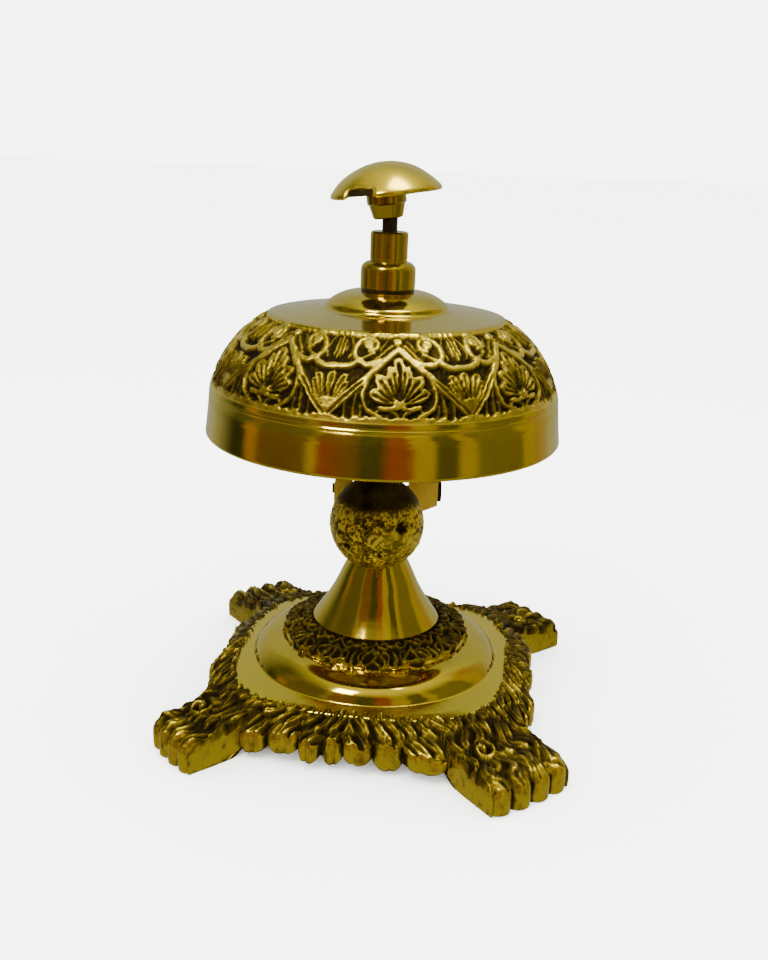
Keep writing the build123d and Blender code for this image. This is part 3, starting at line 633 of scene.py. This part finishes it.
# ---- materials ----------------------------------------------------------------------------------
class Nodes:
    """Short way to build a node tree."""

    def __init__(self, tree):
        self.tree = tree
        tree.nodes.clear()

    def add(self, kind, **settings):
        node = self.tree.nodes.new(kind)
        inputs = settings.pop("inputs", {})
        for key, value in settings.items():
            setattr(node, key, value)
        for key, value in inputs.items():
            if isinstance(value, bpy.types.NodeSocket):
                self.tree.links.new(value, node.inputs[key])
            else:
                node.inputs[key].default_value = value
        return node

    def noise(self, vector, scale, detail=4.0, rough=0.55, distortion=0.0):
        node = self.add("ShaderNodeTexNoise", inputs={"Vector": vector, "Scale": scale, "Detail": detail,
                                                      "Roughness": rough, "Distortion": distortion})
        return node.outputs["Fac"]

    def ramp(self, fac, stops, mode="LINEAR"):
        node = self.add("ShaderNodeValToRGB", inputs={"Fac": fac})
        node.color_ramp.interpolation = mode
        while len(node.color_ramp.elements) < len(stops):
            node.color_ramp.elements.new(1.0)
        for element, (pos, colour) in zip(node.color_ramp.elements, stops):
            element.position = pos
            element.color = colour if len(colour) == 4 else (*colour, 1)
        return node.outputs["Color"]

    def grey(self, fac, low, high, a=0.0, b=1.0):
        node = self.add("ShaderNodeMapRange", inputs={"Value": fac, "From Min": low, "From Max": high,
                                                      "To Min": a, "To Max": b})
        return node.outputs["Result"]

    def math(self, op, a, b=0.0):
        node = self.add("ShaderNodeMath", operation=op, inputs={0: a, 1: b})
        return node.outputs[0]

    def mix(self, fac, a, b):
        node = self.add("ShaderNodeMix", data_type="RGBA")
        for key, value in ((0, fac), (6, a), (7, b)):
            if isinstance(value, bpy.types.NodeSocket):
                self.tree.links.new(value, node.inputs[key])
            else:
                node.inputs[key].default_value = value if key == 0 or len(value) == 4 else (*value, 1)
        return node.outputs[2]

    def stretched(self, vector, scale):
        return self.add("ShaderNodeVectorMath", operation="MULTIPLY", inputs={0: vector, 1: scale}).outputs[0]


BRIGHT = (0.80, 0.62, 0.05)
GOLD = (0.66, 0.50, 0.05)
OLIVE = (0.24, 0.17, 0.008)
DARK = (0.020, 0.014, 0.004)


def finish_metal(n, colour, rough, bumps, metallic=1.0):
    """Close a metal material: colour, roughness and a chain of (height, strength, distance) bumps."""
    shader = n.add("ShaderNodeBsdfPrincipled", inputs={"Base Color": colour, "Roughness": rough,
                                                       "Metallic": metallic})
    normal = None
    for height, strength, distance in bumps:
        bump = n.add("ShaderNodeBump", inputs={"Height": height, "Strength": strength, "Distance": distance})
        if normal is not None:
            n.tree.links.new(normal, bump.inputs["Normal"])
        normal = bump.outputs["Normal"]
    if normal is not None:
        n.tree.links.new(normal, shader.inputs["Normal"])
    out = n.add("ShaderNodeOutputMaterial")
    n.tree.links.new(shader.outputs[0], out.inputs[0])


def material(name):
    mat = bpy.data.materials.new(name)
    mat.use_nodes = True
    n = Nodes(mat.node_tree)
    return mat, n, n.add("ShaderNodeTexCoord").outputs["Object"]


def polished_brass(name, tint=GOLD, rough=0.12, ring=900.0, wear=0.5):
    """Polished turned brass: faint lathe rings, cloudy tarnish and small scratches."""
    mat, n, at = material(name)
    cloud = n.noise(at, 60.0, 5.0)
    fine = n.noise(at, 420.0, 4.0)
    turned = n.noise(n.stretched(at, (0.02, 0.02, 1.0)), ring, 2.0)
    dirt = n.noise(at, 150.0, 6.0, 0.65)
    base = n.mix(n.grey(cloud, 0.35, 0.7, 0.0, wear), tint, tuple(c * 0.62 for c in tint))
    base = n.mix(n.grey(dirt, 0.62, 0.78, 0.0, 0.55 * wear), base, OLIVE)
    roughness = n.math("ADD", n.grey(cloud, 0.3, 0.7, rough * 0.75, rough * 1.5), n.grey(fine, 0.5, 0.8, 0.0, 0.06))
    finish_metal(n, base, roughness, [(turned, 0.10, 0.00012), (fine, 0.06, 0.0001)])
    return mat


def relief_brass(name, polish=0.09, rubbed=0.24, low=0.1, high=0.95, tone=1.0):
    """Cast and antiqued brass: rubbed bright on the ridges, black patina in the hollows.

    The relief value runs from 0 in the hollows to 1 on the ridges, and is above that where the
    surface was turned smooth. On the dome it also carries painted shade round one side of the frieze,
    and on the cap a painted shadow in the bite and painted shade on the underside.
    """
    mat, n, at = material(name)
    height = n.add("ShaderNodeAttribute", attribute_name="relief").outputs["Fac"]
    grime = n.noise(at, 260.0, 6.0, 0.7)
    broad = n.noise(at, 45.0, 3.0)
    level = n.math("ADD", height, n.grey(grime, 0.3, 0.7, -0.16, 0.16))
    level = n.math("ADD", level, n.grey(broad, 0.3, 0.7, -0.08, 0.08))
    shade = n.grey(level, low, high)
    colour = n.ramp(shade, [(0.0, DARK), (0.38, (0.085, 0.058, 0.006)), (0.64, tuple(c * tone for c in OLIVE)),
                            (0.86, tuple(c * tone for c in GOLD)), (1.0, tuple(c * tone for c in BRIGHT))])
    smooth_part = n.grey(height, 1.05, 1.25)
    stain = n.grey(n.noise(at, 90.0, 5.0, 0.6), 0.45, 0.75, 0.0, 0.5)
    turned_colour = n.mix(stain, GOLD, tuple(c * 0.72 for c in GOLD))
    colour = n.mix(smooth_part, colour, turned_colour)
    roughness = n.math("ADD", n.grey(shade, 0.0, 1.0, 0.6, rubbed), n.grey(grime, 0.4, 0.8, 0.0, 0.05))
    roughness = n.math("SUBTRACT", roughness, n.grey(smooth_part, 0.0, 1.0, 0.0, rubbed - polish))
    fine = n.noise(at, 900.0, 4.0, 0.6)
    brushed = n.noise(n.stretched(at, (60.0, 60.0, 2600.0)), 1.0, 2.0)
    finish_metal(n, colour, roughness, [(grime, n.grey(smooth_part, 0.0, 1.0, 0.35, 0.02), 0.0003),
                                        (fine, n.grey(smooth_part, 0.0, 1.0, 0.3, 0.03), 0.0001),
                                        (brushed, n.grey(smooth_part, 0.0, 1.0, 0.0, 0.05), 0.00005)])
    return mat


def filed_brass_painted_bright(name):
    """Flat filed faces with fine cross scratches, in a brass colour painted brighter as a highlight for the light
    falling on the ear.
    """
    mat, n, at = material(name)
    marks = n.noise(n.stretched(at, (90.0, 90.0, 1500.0)), 1.0, 4.0)
    cloud = n.noise(at, 120.0, 5.0)
    # painted highlight: a brighter brass colour stands in for the light falling on the ear
    colour = n.mix(n.grey(cloud, 0.35, 0.7), (0.90, 0.72, 0.10), (0.78, 0.58, 0.05))
    finish_metal(n, colour, n.grey(marks, 0.3, 0.7, 0.32, 0.5), [(marks, 0.35, 0.0002), (cloud, 0.1, 0.0002)], 0.99)
    return mat


def dark_steel(name):
    """Blackened steel with brown rust bloom and fine marks."""
    mat, n, at = material(name)
    bloom = n.noise(at, 500.0, 6.0, 0.7)
    marks = n.noise(n.stretched(at, (1.0, 1.0, 0.08)), 2500.0, 3.0)
    colour = n.ramp(bloom, [(0.3, (0.02, 0.018, 0.015)), (0.6, (0.05, 0.035, 0.022)), (0.8, (0.13, 0.10, 0.07))])
    finish_metal(n, colour, n.grey(bloom, 0.3, 0.8, 0.28, 0.55), [(marks, 0.2, 0.0001), (bloom, 0.2, 0.0001)])
    return mat


def leather(name):
    mat, n, at = material(name)
    grain = n.noise(at, 1800.0, 5.0)
    colour = n.ramp(grain, [(0.3, (0.03, 0.015, 0.008)), (0.7, (0.08, 0.04, 0.02))])
    finish_metal(n, colour, n.grey(grain, 0.3, 0.7, 0.6, 0.8), [(grain, 0.5, 0.0002)], 0.0)
    return mat


MAT = {
    "bell": relief_brass("bell_brass_relief", 0.09, 0.27, 0.22, 1.08, 0.86),
    "polished": polished_brass("polished_brass", GOLD, 0.07, 900.0, 0.3),
    "turned": polished_brass("turned_brass", (0.50, 0.36, 0.03), 0.16, 1500.0, 0.8),
    "filed_painted_bright": filed_brass_painted_bright("filed_brass_painted_bright"),
    "cap": relief_brass("cap_brass", 0.20, 0.3),
    "base": relief_brass("base_brass_relief", 0.08, 0.2, 0.2, 1.0, 0.9),
    "rough": relief_brass("rough_brass", 0.3, 0.4, 0.0, 0.85, 0.9),
    "steel": dark_steel("dark_steel"),
    "leather": leather("seat_leather"),
}
FINISH = {
    "cast_brass": "filed_painted_bright", "polished_brass": "polished", "bell_brass": "bell", "turned_brass": "turned",
    "rough_brass": "turned", "dark_steel": "steel", "spring_steel": "steel", "seat_leather": "leather",
}


def dress_frame():
    """Give every CAD node that stays in view its material."""
    slots = {s["node"]: s["material_slot"] for s in frame["record"]["subparts"]}
    for node, obj in frame["nodes"].items():
        obj.data.materials.clear()
        obj.data.materials.append(MAT[FINISH[slots[node]]])


# ---- stage, light and camera --------------------------------------------------------------------
def room_light():
    """White to the camera and the floor; to the brass, a room with upright streaks of colour."""
    world = bpy.data.worlds.new("room")
    bpy.context.scene.world = world
    world.use_nodes = True
    n = Nodes(world.node_tree)
    at = n.add("ShaderNodeTexCoord").outputs["Generated"]
    part = n.add("ShaderNodeSeparateXYZ", inputs={0: at})
    turn = n.math("ARCTAN2", part.outputs[0], n.math("MULTIPLY", part.outputs[1], -1.0))
    waver = n.grey(n.noise(at, 5.0, 3.0), 0.3, 0.7, -0.05, 0.05)
    turn = n.grey(n.math("ADD", turn, waver), -math.pi, math.pi)
    pale, black, brown = (0.62, 0.68, 0.55), (0.03, 0.035, 0.03), (0.15, 0.09, 0.03)
    gold, amber, red = (0.45, 0.37, 0.06), (0.42, 0.23, 0.05), (0.30, 0.065, 0.03)
    olive, moss, green = (0.19, 0.175, 0.05), (0.09, 0.085, 0.04), (0.05, 0.055, 0.05)
    streaks = [(-180, pale), (-143, pale), (-139, moss), (-128, moss), (-122, black), (-98, black), (-94, amber),
               (-86, amber), (-82, brown), (-49, brown), (-45, gold), (-41, gold), (-38, red), (-17, brown),
               (-13, green), (0, green), (5, red), (16, red), (19, gold), (32, gold), (35, moss), (48, moss),
               (52, gold), (57, gold), (62, olive), (97, olive), (101, gold), (110, gold), (114, amber),
               (127, amber), (133, pale), (180, pale)]
    side = n.ramp(turn, [((deg + 180) / 360, colour) for deg, colour in streaks])
    up = part.outputs[2]
    lit = n.mix(n.grey(up, -0.34, -0.50), side, (0.40, 0.38, 0.26))
    lit = n.mix(n.grey(up, 0.66, 0.90), lit, (1.0, 0.97, 0.42))
    shaded = n.math("MULTIPLY", n.grey(part.outputs[0], -0.25, -0.70, 0.0, 0.8), n.grey(up, 0.05, 0.35))
    lit = n.mix(shaded, lit, (0.10, 0.10, 0.05))
    lit = n.mix(n.grey(part.outputs[1], 0.30, 0.75), lit, (0.50, 0.52, 0.44))
    glossy = n.add("ShaderNodeLightPath").outputs["Is Glossy Ray"]
    room = n.add("ShaderNodeBackground", inputs={"Color": lit, "Strength": 1.0})
    paper = n.add("ShaderNodeBackground", inputs={"Color": (1, 1, 1, 1), "Strength": 6.5})
    both = n.add("ShaderNodeMixShader", inputs={0: glossy, 1: paper.outputs[0], 2: room.outputs[0]})
    out = n.add("ShaderNodeOutputWorld")
    n.tree.links.new(both.outputs[0], out.inputs[0])


def area_light(name, place, aim, size, power, colour=(1, 1, 1)):
    data = bpy.data.lights.new(name, "AREA")
    data.shape = "RECTANGLE"
    data.size, data.size_y = size
    data.energy = power
    data.color = colour
    lamp = bpy.data.objects.new(name, data)
    lamp.location = place
    lamp.rotation_euler = (Vector(aim) - Vector(place)).to_track_quat("-Z", "Y").to_euler()
    bpy.context.scene.collection.objects.link(lamp)
    return lamp


def set_stage():
    mesh = bpy.data.meshes.new("floor")
    half = 6.0
    mesh.from_pydata([(-half, -half, 0), (half, -half, 0), (half, half, 0), (-half, half, 0)], [], [(0, 1, 2, 3)])
    floor = bpy.data.objects.new("floor", mesh)
    bpy.context.scene.collection.objects.link(floor)
    mat = bpy.data.materials.new("pale_floor")
    mat.use_nodes = True
    n = Nodes(mat.node_tree)
    at = n.add("ShaderNodeTexCoord").outputs["Object"]
    tone = n.ramp(n.noise(at, 3.0), [(0.3, (0.93, 0.93, 0.92)), (0.7, (0.96, 0.96, 0.95))])
    shader = n.add("ShaderNodeBsdfPrincipled", inputs={"Base Color": tone, "Roughness": 0.9})
    out = n.add("ShaderNodeOutputMaterial")
    n.tree.links.new(shader.outputs[0], out.inputs[0])
    mesh.materials.append(mat)
    floor.visible_glossy = False
    area_light("key", (-0.30, -0.45, 0.75), (0, 0, 0.08), (0.22, 0.22), 5.0, (1.0, 0.96, 0.85))
    area_light("top", (0.15, -0.05, 0.9), (0, 0, 0.05), (0.3, 0.3), 4.0, (1.0, 0.98, 0.9))
    room_light()


def set_camera():
    """Eye a little above the knob, a hand's length over the front, turned slightly anticlockwise."""
    distance, height = 0.3021, 0.1622
    pitch, roll, yaw = math.radians(17.30), math.radians(2.13), math.radians(0.18)
    data = bpy.data.cameras.new("camera")
    data.lens = 40.9
    data.clip_start, data.clip_end = 0.01, 50
    cam = bpy.data.objects.new("camera", data)
    bpy.context.scene.collection.objects.link(cam)
    turn = Matrix.Rotation(-yaw, 4, "Z") @ Matrix.Rotation(math.pi / 2 - pitch, 4, "X")
    turn = turn @ Matrix.Rotation(roll, 4, "Z")
    cam.matrix_world = Matrix.Translation((0, -distance, height)) @ turn
    bpy.context.scene.camera = cam


dress_frame()
dome = build_dome()
dome.data.materials.append(MAT["bell"])
for build in (build_saucer, build_border):
    build().data.materials.append(MAT["base"])
build_ball().data.materials.append(MAT["rough"])
build_cap().data.materials.append(MAT["cap"])
set_stage()
set_camera()
